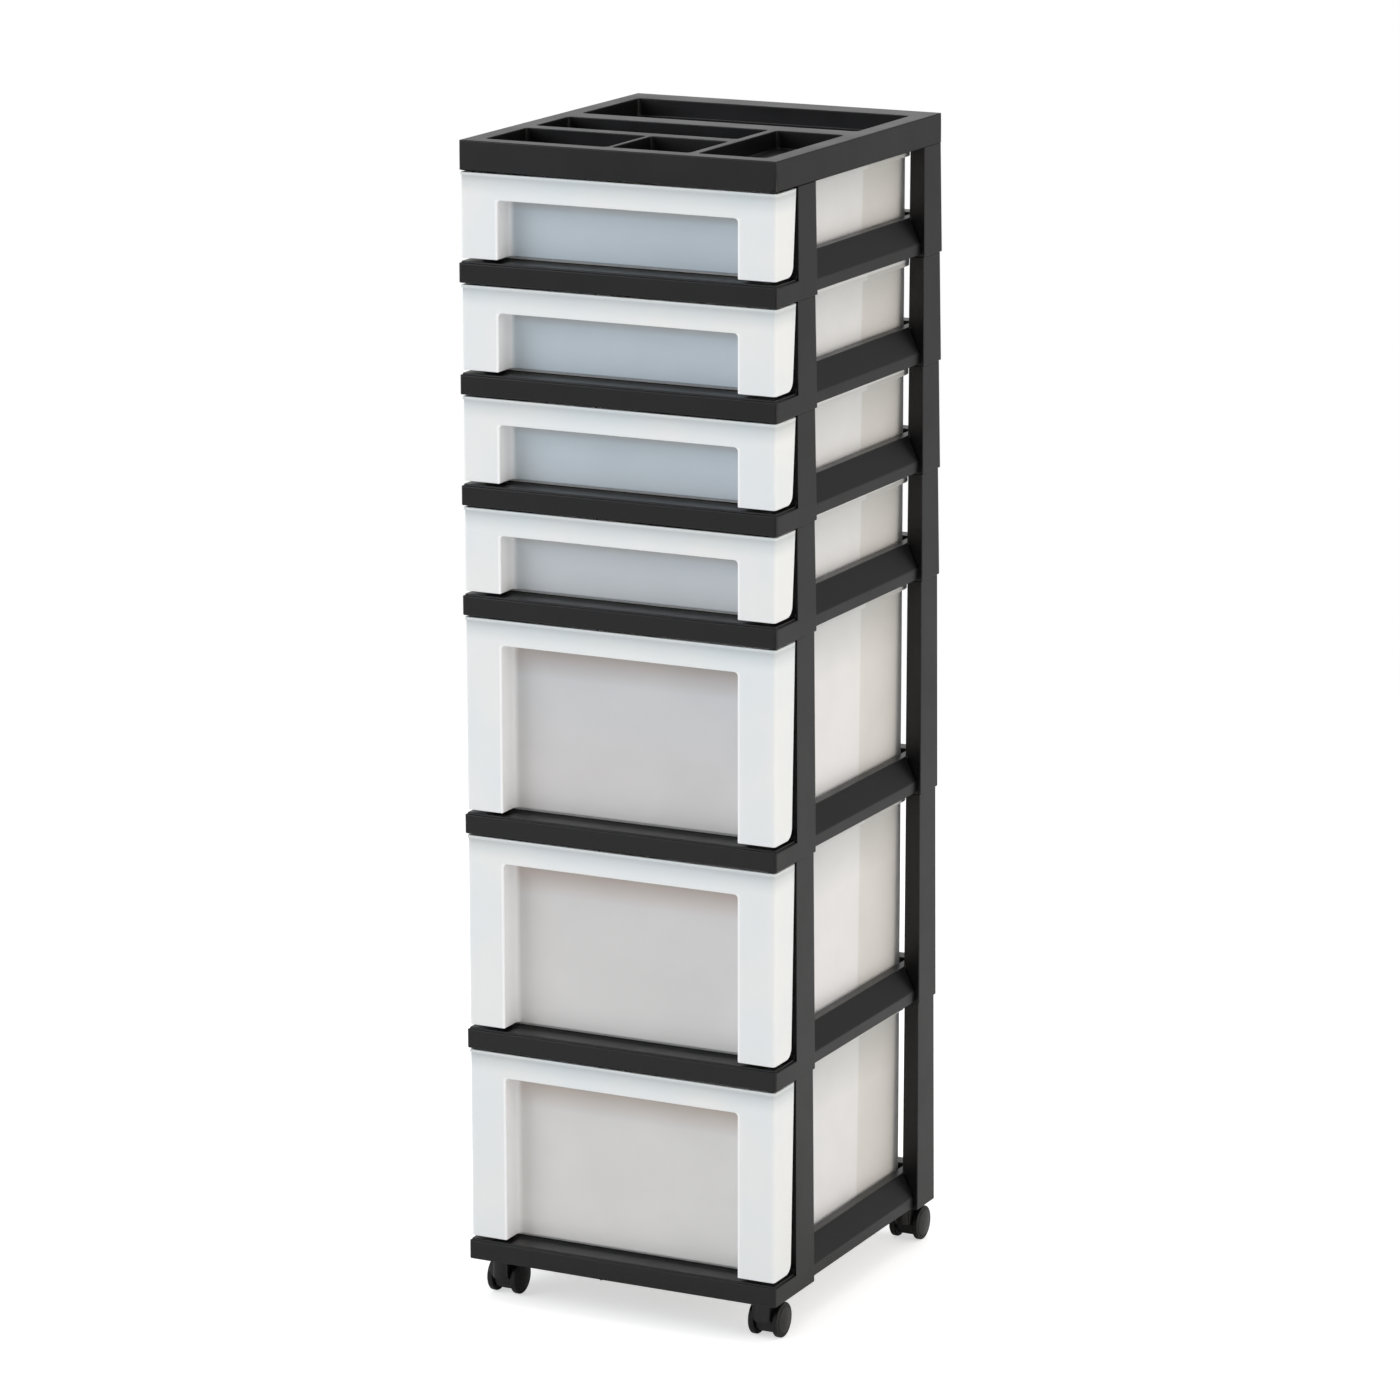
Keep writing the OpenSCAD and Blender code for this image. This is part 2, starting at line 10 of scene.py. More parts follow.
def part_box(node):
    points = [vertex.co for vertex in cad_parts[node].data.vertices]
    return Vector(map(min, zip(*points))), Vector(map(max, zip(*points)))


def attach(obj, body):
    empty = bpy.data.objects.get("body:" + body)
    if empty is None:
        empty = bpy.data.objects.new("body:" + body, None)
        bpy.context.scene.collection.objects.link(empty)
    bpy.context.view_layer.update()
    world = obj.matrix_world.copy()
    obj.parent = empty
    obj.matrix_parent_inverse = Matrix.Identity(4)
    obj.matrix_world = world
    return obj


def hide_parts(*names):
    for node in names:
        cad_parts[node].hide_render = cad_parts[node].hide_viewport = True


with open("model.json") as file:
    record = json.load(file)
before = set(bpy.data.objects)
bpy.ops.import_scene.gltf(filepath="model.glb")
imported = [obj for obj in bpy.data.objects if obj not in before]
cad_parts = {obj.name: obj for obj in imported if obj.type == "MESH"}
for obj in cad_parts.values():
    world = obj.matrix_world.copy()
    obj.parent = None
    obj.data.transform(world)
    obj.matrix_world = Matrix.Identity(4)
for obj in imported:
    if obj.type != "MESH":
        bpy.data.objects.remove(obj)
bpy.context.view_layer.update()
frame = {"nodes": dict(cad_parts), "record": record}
mm = 0.001
nodeBody = {node: body for body, nodes in frame["record"]["behaviour"]["bodies"].items() for node in nodes}
print("frame loaded:", len(frame["nodes"]), "nodes")

# The camera's place and turn come from the photograph's perspective: a long lens, a little above the tower's middle.
camera = dict(
    azimuth=26.538,  # degrees round from the front, towards the tower's right
    elevation=13.551,
    roll=-0.083,
    distance=5.2075,  # metres from the target
    target=(-0.00472, -0.0049, 0.5363),
    focal=149.16,  # millimetres, on a sensor of that width
    sensor=36,
    clip=(0.1, 80),  # metres
)


def placeCamera(c):
    # right, up and back are the camera's own axes, turned by the azimuth, then the elevation, then the roll
    a, e, r = (math.radians(c[k]) for k in ("azimuth", "elevation", "roll"))
    back = Vector((math.sin(a) * math.cos(e), -math.cos(a) * math.cos(e), math.sin(e)))
    right = Vector((math.cos(a), math.sin(a), 0))
    up = back.cross(right)
    across = right * math.cos(r) + up * math.sin(r)
    upward = up * math.cos(r) - right * math.sin(r)
    data = bpy.data.cameras.new("studioCamera")
    data.lens = c["focal"]
    data.sensor_width = c["sensor"]
    data.clip_start, data.clip_end = c["clip"]
    obj = bpy.data.objects.new("studioCamera", data)
    turn = Matrix((across, upward, back)).transposed().to_4x4()
    obj.matrix_world = Matrix.Translation(Vector(c["target"]) + back * c["distance"]) @ turn
    bpy.context.scene.collection.objects.link(obj)
    bpy.context.scene.camera = obj


placeCamera(camera)


def toLinear(code):
    # an sRGB hex value as linear red, green, blue and full alpha
    parts = [int(code[i:i + 2], 16) / 255 for i in (1, 3, 5)]
    return [v / 12.92 if v <= 0.04045 else ((v + 0.055) / 1.055) ** 2.4 for v in parts] + [1.0]


def addNode(tree, kind, settings=None, links=None):
    # one node: settings by property, or by a socket's name or number, and links from other nodes' sockets into its own
    node = tree.nodes.new(kind)
    for key, value in (settings or {}).items():
        if isinstance(key, int) or key in node.inputs:
            node.inputs[key].default_value = value
        else:
            setattr(node, key, value)
    for key, (source, output) in (links or {}).items():
        tree.links.new(source.outputs[output], node.inputs[key])
    return node


def colourBand(tree, factor, output, stops):
    # a ramp through (position, hex) stops
    ramp = addNode(tree, "ShaderNodeValToRGB", links={"Fac": (factor, output)})
    for i, (place, code) in enumerate(stops):
        stop = ramp.color_ramp.elements[i] if i < 2 else ramp.color_ramp.elements.new(place)
        stop.position, stop.color = place, toLinear(code)
    return ramp


def spread(tree, source, output, span, result):
    # carries a value from one span to another, held at its ends
    return addNode(tree, "ShaderNodeMapRange", {
        "From Min": span[0], "From Max": span[1], "To Min": result[0], "To Max": result[1],
    }, {"Value": (source, output)})


def blendColour(tree, kind, factor, first, second):
    # mixes two colours; factor, first and second are each a (node, output) pair or a value
    mix = addNode(tree, "ShaderNodeMix", {"data_type": "RGBA", "blend_type": kind})
    for socket, value in zip((mix.inputs[0], mix.inputs[6], mix.inputs[7]), (factor, first, second)):
        if isinstance(value, tuple):
            tree.links.new(value[0].outputs[value[1]], socket)
        else:
            socket.default_value = value
    return mix


def placeOf(tree, name):
    # the three numbers that a drawer's points carry under that name
    attribute = addNode(tree, "ShaderNodeAttribute", {"attribute_name": name})
    return addNode(tree, "ShaderNodeSeparateXYZ", links={"Vector": (attribute, "Vector")})


def newMaterial(name, **settings):
    # an empty material: its tree, its principled shader and the object's own coordinates
    material = bpy.data.materials.new(name)
    material.use_nodes = True
    tree = material.node_tree
    tree.nodes.clear()
    shader = addNode(tree, "ShaderNodeBsdfPrincipled", settings)
    addNode(tree, "ShaderNodeOutputMaterial", links={"Surface": (shader, "BSDF")})
    place = addNode(tree, "ShaderNodeTexCoord")
    return material, tree, shader, place


def softNoise(tree, place, size, detail=2.0):
    # smooth noise whose lumps are about that many millimetres apart
    settings = {"Scale": 1 / (size * mm), "Detail": detail}
    return addNode(tree, "ShaderNodeTexNoise", settings, {"Vector": (place, "Object")})


def stipple(tree, place, shader, grain, depth, strength=0.6):
    # the fine spark-eroded texture of a mould: a bump of noise with that grain and depth, in millimetres
    noise = softNoise(tree, place, grain)
    settings = {"Strength": strength, "Distance": depth * mm}
    bump = addNode(tree, "ShaderNodeBump", settings, {"Height": (noise, "Fac")})
    tree.links.new(bump.outputs["Normal"], shader.inputs["Normal"])


def makeMottled(name, finish, **settings):
    # A surface whose colour and roughness change together in soft lumps, size millimetres apart: from one tone to
    # the other over toneSpan of the noise, and from one roughness to the other over roughSpan.
    material, tree, shader, place = newMaterial(name, **settings)
    lumps = softNoise(tree, place, finish["size"], finish["detail"])
    tint = colourBand(tree, lumps, "Fac", zip(finish["toneSpan"], finish["tones"]))
    tree.links.new(tint.outputs["Color"], shader.inputs["Base Color"])
    rough = spread(tree, lumps, "Fac", finish["roughSpan"], finish["rough"])
    tree.links.new(rough.outputs["Result"], shader.inputs["Roughness"])
    if "grain" in finish:
        stipple(tree, place, shader, finish["grain"], finish["depth"])
    return material


def makeSatinPolypropylene():
    # Injection-moulded polypropylene coloured with carbon black, from a finely spark-eroded mould. The eye reads a
    # soft grey sheen on edges and tops, and slow cloudy changes of gloss where the melt flowed.
    finish = dict(
        tones=("#070607", "#0b0a0b"), toneSpan=(0.35, 0.68), rough=(0.32, 0.40), roughSpan=(0.3, 0.7),
        size=55, detail=3.0, grain=0.6, depth=0.015,
    )
    return makeMottled("satinMouldedPolypropylene", finish, **{"Specular IOR Level": 0.42})


def makeMilkyFascia():
    # Natural polypropylene, thick and finely textured: milk-white, a little blue in the light from the front. Long
    # soft clouds show where the hollow front's wall is thicker. It lets a little light through, and the jambs are
    # painted white, a painted glow of that light. Under the bead along its top a painted shade fades downwards.
    finish = dict(
        milk=((0.35, "#e9eeef"), (0.65, "#eff0ee")),  # from cool to warm, by the cloud's noise
        cloud=80, grain=0.5, depth=0.012,
        # painted light: the jambs are lightened to white, a painted glow
        paintedGlow="#ffffff",
        jambSpan=(0.01, 0.025),  # how far from a jamb the painted glow ends, in half widths of the window
        topSpan=(0.99, 1.01),  # where it ends at the window's top, in heights of the window
        # painted shade, in metres under the drawer's top: the bead, the shade under it, half of the shade, and none
        paintedBeadShade=((0.0, "#f2f4f4"), (0.0028, "#f2f4f4"), (0.0034, "#d6d9db"), (0.0075, "#e8ebec"), (0.018, "#ffffff")),
    )
    material, tree, shader, place = newMaterial("milkyPolypropyleneFascia", **{
        "Roughness": 0.38, "IOR": 1.49, "Specular IOR Level": 0.45,
        "Subsurface Weight": 0.25, "Subsurface Radius": (1.0, 1.0, 1.0), "Subsurface Scale": 0.003,
    })
    cloud = softNoise(tree, place, finish["cloud"])
    milk = colourBand(tree, cloud, "Fac", finish["milk"])
    # a jamb lies where the distance from the middle is the window's half width, which windowPlace counts as 1, and
    # under the window's top, which is 1 as well
    window = placeOf(tree, "windowPlace")
    across = addNode(tree, "ShaderNodeMath", {"operation": "ABSOLUTE"}, {0: (window, "X")})
    past = addNode(tree, "ShaderNodeMath", {"operation": "SUBTRACT", 1: 1.0}, {0: (across, 0)})
    aside = addNode(tree, "ShaderNodeMath", {"operation": "ABSOLUTE"}, {0: (past, 0)})
    jamb = spread(tree, aside, 0, finish["jambSpan"], (1.0, 0.0))
    beside = spread(tree, window, "Y", finish["topSpan"], (1.0, 0.0))
    # the painted glow: full at the jambs, below the window's top
    paintedGlow = addNode(tree, "ShaderNodeMath", {"operation": "MULTIPLY"}, {0: (jamb, "Result"), 1: (beside, "Result")})
    withPaintedGlow = blendColour(tree, "MIX", (paintedGlow, 0), (milk, "Color"), toLinear(finish["paintedGlow"]))
    # painted shade under the bead, darkest just beneath it and fading downwards
    paintedBeadShade = colourBand(tree, placeOf(tree, "drawerPlace"), "X", finish["paintedBeadShade"])
    tint = blendColour(tree, "MULTIPLY", 1.0, (withPaintedGlow, 2), (paintedBeadShade, "Color"))
    tree.links.new(tint.outputs[2], shader.inputs["Base Color"])
    stipple(tree, place, shader, finish["grain"], finish["depth"])
    return material


def makeFrostedWall():
    # Natural polypropylene as one 2 mm wall, frosted: light passes and blurs. The rear half of each side is painted
    # darker than the front half, a painted shade with a straight join between them, and the rear corner is painted
    # paler, a painted light. Painted shade greys the wall towards its top, under a paler rim, and along its foot,
    # where the rail stands against the light.
    finish = dict(
        front="#fafaf8",
        paintedShading=(  # each a painted shade or light: blend, axis of drawerPlace, span in metres, how much of the coat at its two ends, colour
            ("MIX", "Y", (0.049, 0.0515), (0.0, 1.0), "#ebe9e3"),  # painted shade: the rear half, darker past the join
            ("MIX", "Y", (0.128, 0.146), (0.0, 0.8), "#ffffff"),  # painted light: the rear corner, paler where light comes through
            ("MULTIPLY", "X", (0.005, 0.06), (1.0, 0.0), "#dde0e2"),  # painted shade towards the top, under the tier above
            ("MIX", "X", (0.0046, 0.0054), (0.6, 0.0), "#f2f6f6"),  # the rim
            ("MIX", "Z", (0.031, 0.033), (0.5, 0.0), "#a9a89c"),  # painted shade along the foot, beside the rail
        ),
        veil=((0.3, "#fafafa"), (0.7, "#ffffff")),
        cloud=45, grain=0.6, depth=0.02,
    )
    material, tree, shader, place = newMaterial("frostedPolypropyleneWall", **{
        "Roughness": 0.42, "IOR": 1.49, "Specular IOR Level": 0.4, "Transmission Weight": 0.12,
        "Subsurface Weight": 0.45, "Subsurface Radius": (1.0, 1.0, 1.0), "Subsurface Scale": 0.003,
    })
    drawer = placeOf(tree, "drawerPlace")
    wall = toLinear(finish["front"])
    # painted shade and light, laid over the wall's colour one by one
    for kind, axis, span, share, code in finish["paintedShading"]:
        coat = spread(tree, drawer, axis, span, share)
        wall = (blendColour(tree, kind, (coat, "Result"), wall, toLinear(code)), 2)
    cloud = softNoise(tree, place, finish["cloud"])
    veil = colourBand(tree, cloud, "Fac", finish["veil"])
    tint = blendColour(tree, "MULTIPLY", 1.0, wall, (veil, "Color"))
    tree.links.new(tint.outputs[2], shader.inputs["Base Color"])
    stipple(tree, place, shader, finish["grain"], finish["depth"])
    return material


def makeWindow():
    # The window is the same polypropylene from a smoother part of the mould, 2 mm thick, through which the drawer's
    # inside shows blurred. Its colour holds painted light: high on the tower a cool blue-grey, and near the floor that
    # lights it a warm white. A painted shade makes it warmer and darker under its top edge, and it grades into the
    # jambs.
    finish = dict(
        level=((0.12, "#f3f2ef"), (0.5, "#e9e7e6"), (0.8, "#d8e5ed")),  # painted light, in metres above the floor: cool high up, warm where the floor lights it
        # painted shade by heights of the window: a little paler at the foot, warmer and darker under the top edge
        paintedHeightShade=((0.0, "#ffffff"), (0.4, "#f6f6f6"), (0.8, "#f6f6f6"), (1.0, "#dccdc4")),  # heights of the window
        veil=((0.35, "#fbfbfb"), (0.65, "#ffffff")),
        jamb="#ffffff",
        clear=0.14,  # how much light passes straight through the pane
        clearSpan=(0.4, 1.0),  # from the jambs towards the pane
        cloud=60, grain=1.2, depth=0.008,
    )
    material, tree, shader, place = newMaterial("smoothPolypropyleneWindow", **{
        "Roughness": 0.30, "IOR": 1.49, "Specular IOR Level": 0.5,
        "Subsurface Weight": 0.15, "Subsurface Radius": (1.0, 1.0, 1.0), "Subsurface Scale": 0.002,
    })
    window = placeOf(tree, "windowPlace")
    tower = addNode(tree, "ShaderNodeSeparateXYZ", links={"Vector": (place, "Object")})
    # painted light by height in the tower
    level = colourBand(tree, tower, "Z", finish["level"])
    # painted shade under the window's top edge
    paintedHeightShade = colourBand(tree, window, "Y", finish["paintedHeightShade"])
    cloud = softNoise(tree, place, finish["cloud"])
    veil = colourBand(tree, cloud, "Fac", finish["veil"])
    graded = blendColour(tree, "MULTIPLY", 1.0, (level, "Color"), (paintedHeightShade, "Color"))
    pane = blendColour(tree, "MULTIPLY", 1.0, (graded, 2), (veil, "Color"))
    tint = blendColour(tree, "MIX", (window, "Z"), toLinear(finish["jamb"]), (pane, 2))
    tree.links.new(tint.outputs[2], shader.inputs["Base Color"])
    clear = spread(tree, window, "Z", finish["clearSpan"], (0.0, finish["clear"]))
    tree.links.new(clear.outputs["Result"], shader.inputs["Transmission Weight"])
    stipple(tree, place, shader, finish["grain"], finish["depth"])
    return material


def makeCasterNylon():
    # Black injection-moulded nylon: a tight semi-gloss skin, a little warm, with a narrow highlight on round edges.
    finish = dict(
        tones=("#0b0a0a", "#12100f"), toneSpan=(0.35, 0.7), rough=(0.30, 0.42), roughSpan=(0.3, 0.7),
        size=6, detail=4.0, grain=0.4, depth=0.01,
    )
    return makeMottled("mouldedNylonCaster", finish, **{"Specular IOR Level": 0.42, "IOR": 1.53})


def makeTreadNylon():
    # The wheels' rims: the same nylon rolled smooth and darker by use, with fine dull marks.
    finish = dict(
        tones=("#080808", "#0e0e0e"), toneSpan=(0.35, 0.75), rough=(0.34, 0.52), roughSpan=(0.3, 0.7),
        size=2.5, detail=5.0, grain=0.7, depth=0.02,
    )
    return makeMottled("rolledNylonTread", finish, **{"Specular IOR Level": 0.36, "IOR": 1.53})


def makeZincSteel():
    # Turned mild steel with a bright zinc coat: a pale metal, finely mottled where the coat is duller.
    finish = dict(
        tones=("#a8abb0", "#c4c7cb"), toneSpan=(0.3, 0.7), rough=(0.22, 0.38), roughSpan=(0.3, 0.7),
        size=0.8, detail=3.0,
    )
    return makeMottled("zincPlatedSteel", finish, **{"Metallic": 1.0})


satinPolypropylene = makeSatinPolypropylene()
milkyFascia = makeMilkyFascia()
frostedWall = makeFrostedWall()
smoothWindow = makeWindow()
casterNylon = makeCasterNylon()
treadNylon = makeTreadNylon()
zincSteel = makeZincSteel()
print("materials made")

# how a sharp edge of a moulding is rounded
rounding = dict(
    merge=0.04,  # millimetres, under which two corners are one
    flatness=0.6,  # degrees between faces that are one flat face
    joins=12,  # the most joins inside a smooth area that the way to the next edge goes past
    share=0.42,  # the most of a neighbouring edge that a radius may take
    sharpCorner=0.6,  # half a corner's angle in radians, up to which a radius takes of both its edges
    arcFrom=1.3,  # half a corner's angle in radians, from which its edges belong to an arc
    arcTo=1.56,  # and up to which, because past it they are straight
    arcShare=0.7,  # the most of an arc's radius that is free
    anyRoom=1.0,  # metres, the room of an edge with no neighbour
    straight=-0.88,  # the cosine between two edges that follow each other
    least=0.1,  # millimetres, under which an edge stays sharp
    segments=3,
    angle=40,  # degrees, over which the rounded mesh still has a sharp edge
)


def nextRim(loop, back, smooth):
    # the edge that follows this one round a smooth area at one end, past the joins between its faces
    step = loop.link_loop_prev if back else loop.link_loop_next
    for _ in range(rounding["joins"]):
        edge = step.edge
        if len(edge.link_faces) != 2 or edge.calc_face_angle(0) > smooth:
            return edge
        over = step.link_loop_radial_next
        step = over.link_loop_prev if back else over.link_loop_next
    return None


def edgeRoom(edge, smooth):
    # The width that the faces beside an edge leave for its radius. In a corner of angle a between it and its
    # neighbour, a radius of width w takes w / tan(a/2) of the neighbour, and in a sharp corner of the edge itself too.
    r = rounding
    length = edge.calc_length()
    room = r["anyRoom"]
    for loop in edge.link_loops:
        for back in (True, False):
            corner = loop.vert if back else loop.link_loop_next.vert
            near = nextRim(loop, back, smooth)
            if near is None or near == edge:
                continue
            here = corner.co
            first = (edge.other_vert(corner).co - here).normalized()
            second = (near.other_vert(corner).co - here).normalized()
            half = math.acos(max(-1.0, min(1.0, first.dot(second)))) / 2
            shorter = min(length, near.calc_length())
            if half < r["arcFrom"]:
                free = near.calc_length() if half > r["sharpCorner"] else shorter
                room = min(room, free * math.tan(half))
            elif half < r["arcTo"]:
                # the arc's radius is the edges' length over their turn
                room = min(room, r["arcShare"] * shorter / (math.pi - 2 * half))
    return room


def evenWidths(widths, straight, alike=1e-6):
    # along a run of edges that nearly follow each other, every edge takes the narrowest width of the run
    pairs = []
    for vert in {v for edge in widths for v in edge.verts}:
        edges = [e for e in vert.link_edges if e in widths]
        ways = [(e.other_vert(vert).co - vert.co).normalized() for e in edges]
        pairs += [(edges[i], edges[j]) for i in range(len(edges)) for j in range(i) if ways[i].dot(ways[j]) < straight]
    changed = True
    while changed:
        changed = False
        for first, second in pairs:
            if abs(widths[first] - widths[second]) > alike:
                widths[first] = widths[second] = min(widths[first], widths[second])
                changed = True


def meshPoints(data):
    points = np.empty(len(data.vertices) * 3)
    data.vertices.foreach_get("co", points)
    return points.reshape(-1, 3)


def softCopy(node, name, widths, dressFace=None, materials=()):
    # A copy of a CAD node with its flat faces joined again and its real edges rounded: widths gives the radius in
    # millimetres of outward and of inward edges, and the angle in degrees from which an edge is a real one. dressFace
    # gives each face's material from its middle and its normal.
    r = rounding
    smooth = math.radians(widths["sharp"])
    data = bpy.data.meshes.new(name)
    bm = bmesh.new()
    bm.from_mesh(frame["nodes"][node].data)
    bmesh.ops.remove_doubles(bm, verts=bm.verts, dist=r["merge"] * mm)
    bmesh.ops.dissolve_limit(bm, angle_limit=math.radians(r["flatness"]), verts=bm.verts, edges=bm.edges)
    # a face that turns inward somewhere is split, so that it stays whole when its edges are rounded
    bmesh.ops.connect_verts_concave(bm, faces=[face for face in bm.faces if len(face.verts) > 4])
    largest = max(widths["outward"], widths["inward"])
    weight = bm.edges.layers.float.new("bevel_weight_edge")
    rounded = {}
    for edge in bm.edges:
        if len(edge.link_faces) == 2 and edge.calc_face_angle(0) >= smooth:
            wanted = widths["outward" if edge.calc_face_angle_signed(0) > 0 else "inward"]
            rounded[edge] = min(wanted, r["share"] * edgeRoom(edge, smooth) / mm)
    evenWidths(rounded, r["straight"])
    for edge, width in rounded.items():
        if width < r["least"]:
            edge.smooth = False
        else:
            edge[weight] = width / largest
    for face in bm.faces:
        face.smooth = True
        face.material_index = dressFace(face.calc_center_median(), face.normal) if dressFace else 0
    bm.to_mesh(data)
    bm.free()
    for material in materials:
        data.materials.append(material)
    piece = bpy.data.objects.new(name, data)
    bpy.context.scene.collection.objects.link(piece)
    bevel = piece.modifiers.new("roundedEdges", "BEVEL")
    bevel.limit_method = "WEIGHT"
    bevel.width = largest * mm
    bevel.segments = r["segments"]
    bevel.use_clamp_overlap = False
    bevel.loop_slide = False
    # the rounded mesh is kept as it is, held inside the node's own box
    shaped = bpy.data.meshes.new_from_object(piece.evaluated_get(bpy.context.evaluated_depsgraph_get()))
    points = meshPoints(shaped)
    shaped.vertices.foreach_set("co", np.clip(points, *(np.array(corner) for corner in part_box(node))).ravel())
    # what is still an angle stays sharp, with the edges that were too short for a radius
    marks = np.empty((2, len(shaped.edges)), bool)
    shaped.edges.foreach_get("use_edge_sharp", marks[0])
    shaped.set_sharp_from_angle(angle=math.radians(r["angle"]))
    shaped.edges.foreach_get("use_edge_sharp", marks[1])
    shaped.edges.foreach_set("use_edge_sharp", marks.any(0))
    piece.modifiers.clear()
    piece.data = shaped
    bpy.data.meshes.remove(data)
    shaped.name = name
    normals = piece.modifiers.new("flatFaceNormals", "WEIGHTED_NORMAL")
    normals.keep_sharp = True
    return piece


def standFor(piece, *nodes):
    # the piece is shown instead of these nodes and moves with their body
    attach(piece, nodeBody[nodes[0]])
    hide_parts(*nodes)


def roundedPath(corners, steps=6, flat=1.55):
    # A profile through corners given as (radius from the axis, place along it, corner radius), all in millimetres.
    # Each corner with a radius becomes an arc that touches both of its straight sides. A corner whose half angle is
    # over flat, in radians, is no corner.
    points = np.array([c[:2] for c in corners], float)
    out = [points[:1]]
    for i in range(1, len(corners) - 1):
        here, radius = points[i], corners[i][2]
        before, after = points[i - 1] - here, points[i + 1] - here
        before, after = before / np.linalg.norm(before), after / np.linalg.norm(after)
        half = math.acos(float(np.clip(before @ after, -1, 1))) / 2
        if radius <= 0 or half > flat:
            out.append(here[None])
            continue
        middle = here + (before + after) / np.linalg.norm(before + after) * radius / math.sin(half)
        start = here + before * radius / math.tan(half) - middle
        end = here + after * radius / math.tan(half) - middle
        # the arc turns evenly from start to end: weights sin((1-t)a)/sin(a) and sin(ta)/sin(a)
        turn = math.pi - 2 * half
        t = np.linspace(0, 1, steps + 1)[:, None]
        out.append(middle + (np.sin((1 - t) * turn) * start + np.sin(t * turn) * end) / math.sin(turn))
    out.append(points[-1:])
    return np.concatenate(out)


def turned(name, profile, place, along, segments=96, crease=50, pole=1e-7):
    # A surface of revolution: each profile point (r, s) at angle u lies at place + s*along + r*(cos u, sin u) across
    # it. Points on the axis, nearer to each other than pole, are one point, and rings join as quads. Edges over crease
    # degrees stay sharp.
    along = np.array(along, float)
    first = np.cross(along, (0, 0, 1) if abs(along[2]) < 0.9 else (1, 0, 0))
    first /= np.linalg.norm(first)
    second = np.cross(along, first)
    u = np.arange(segments) * 2 * math.pi / segments
    across = np.cos(u)[:, None] * first + np.sin(u)[:, None] * second
    rings = profile[:, None, 1:] * mm * along + profile[:, None, :1] * mm * across[None] + np.array(place)
    i = np.arange(len(profile) - 1)[:, None] * segments
    j = np.arange(segments)[None]
    k = (j + 1) % segments
    faces = np.stack([i + j, i + k, i + segments + k, i + segments + j], -1).reshape(-1, 4)
    data = bpy.data.meshes.new(name)
    data.from_pydata(rings.reshape(-1, 3).tolist(), [], faces.tolist())
    bm = bmesh.new()
    bm.from_mesh(data)
    bmesh.ops.remove_doubles(bm, verts=bm.verts, dist=pole)
    bmesh.ops.recalc_face_normals(bm, faces=bm.faces)
    for face in bm.faces:
        face.smooth = True
    for edge in bm.edges:
        edge.smooth = edge.calc_face_angle(0) < math.radians(crease)
    bm.to_mesh(data)
    bm.free()
    piece = bpy.data.objects.new(name, data)
    bpy.context.scene.collection.objects.link(piece)
    return piece


# frames and tray: black mouldings with small radii, in millimetres, on every edge
frameEdges = dict(outward=0.9, inward=0.6, sharp=20)
trayEdges = dict(outward=0.8, inward=1.2, sharp=37)
for node in sorted(n for n in frame["nodes"] if n.startswith("frame_")):
    standFor(softCopy(node, "tierFrame" + node[-1], frameEdges, materials=[satinPolypropylene]), node)
standFor(softCopy("top_tray", "compartmentTray", trayEdges, materials=[satinPolypropylene]), "top_tray")
print("frames and tray rounded")

# drawers: one moulding each, milky at the front, smooth in the window and frosted behind; all in millimetres
drawerShape = dict(
    outward=1.0, inward=0.8, sharp=37,
    windowHalf=115.4,  # from the middle to the window's side
    band=23,  # from the drawer's top down to the window
    recess=24,  # from the drawer's front back to the window's face
    bead=0.8,  # how far the bead stands out of the front
    fillet=5,  # radius where the recess meets the window
    filletShare=0.98,  # how much of it counts as the window
    wall=2,
    frontDepth=40.5,  # from the drawer's front to the plane that parts the front from the body
    footHeight=19,  # of the drawer's foot over its tier's
    slack=0.3,  # how far past a plane a face still counts
    turning=0.06,  # the part of a normal along the drawer from which a face of the recess turns into the window
    facingBack=0.999,  # and from which it is the back of the pane
)


def makeDrawer(node, name):
    s = drawerShape
    low, high = (Vector(v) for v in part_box(node))
    face = low.y + s["bead"] * mm
    pane = face + s["recess"] * mm
    top = high.z - s["band"] * mm
    half = s["windowHalf"] * mm
    frontEnd = face + s["frontDepth"] * mm
    slack, fillet, wall = s["slack"] * mm, s["fillet"] * mm, s["wall"] * mm

    def zone(middle, normal):
        # 0 is the front, 1 the window with its fillets, 2 the body
        inWindow = abs(middle.x) < half + slack and middle.z < top + slack
        inDepth = pane - fillet * s["filletShare"] < middle.y < pane + wall + slack
        if inWindow and inDepth and normal.y < s["facingBack"]:
            return 1 if abs(normal.y) > s["turning"] or middle.y > pane - slack else 0
        return 0 if middle.y < frontEnd else 2

    piece = softCopy(node, name, s, zone, [milkyFascia, smoothWindow, frostedWall])
    data = piece.data
    points = meshPoints(data)
    # windowPlace: across the window, up it, and how far a point is from the jambs towards the pane
    clear = np.clip((points[:, 1] - (pane - fillet)) / fillet, 0, 1)
    windowPlace = np.stack([points[:, 0] / half, (points[:, 2] - low.z) / (top - low.z), clear ** 2], 1)
    # drawerPlace: how far a point is under the drawer's top, where it is along the drawer, and its height in the tier
    above = points[:, 2] - low.z + s["footHeight"] * mm
    drawerPlace = np.stack([high.z - points[:, 2], points[:, 1], above], 1)
    for key, values in (("windowPlace", windowPlace), ("drawerPlace", drawerPlace)):
        layer = data.attributes.new(key, "FLOAT_VECTOR", "POINT")
        layer.data.foreach_set("vector", values.astype(np.float32).ravel())
    standFor(piece, node)


for node in sorted(n for n in frame["nodes"] if n.startswith("drawer_")):
    makeDrawer(node, "drawerShell" + node[-1])
print("drawers dressed")

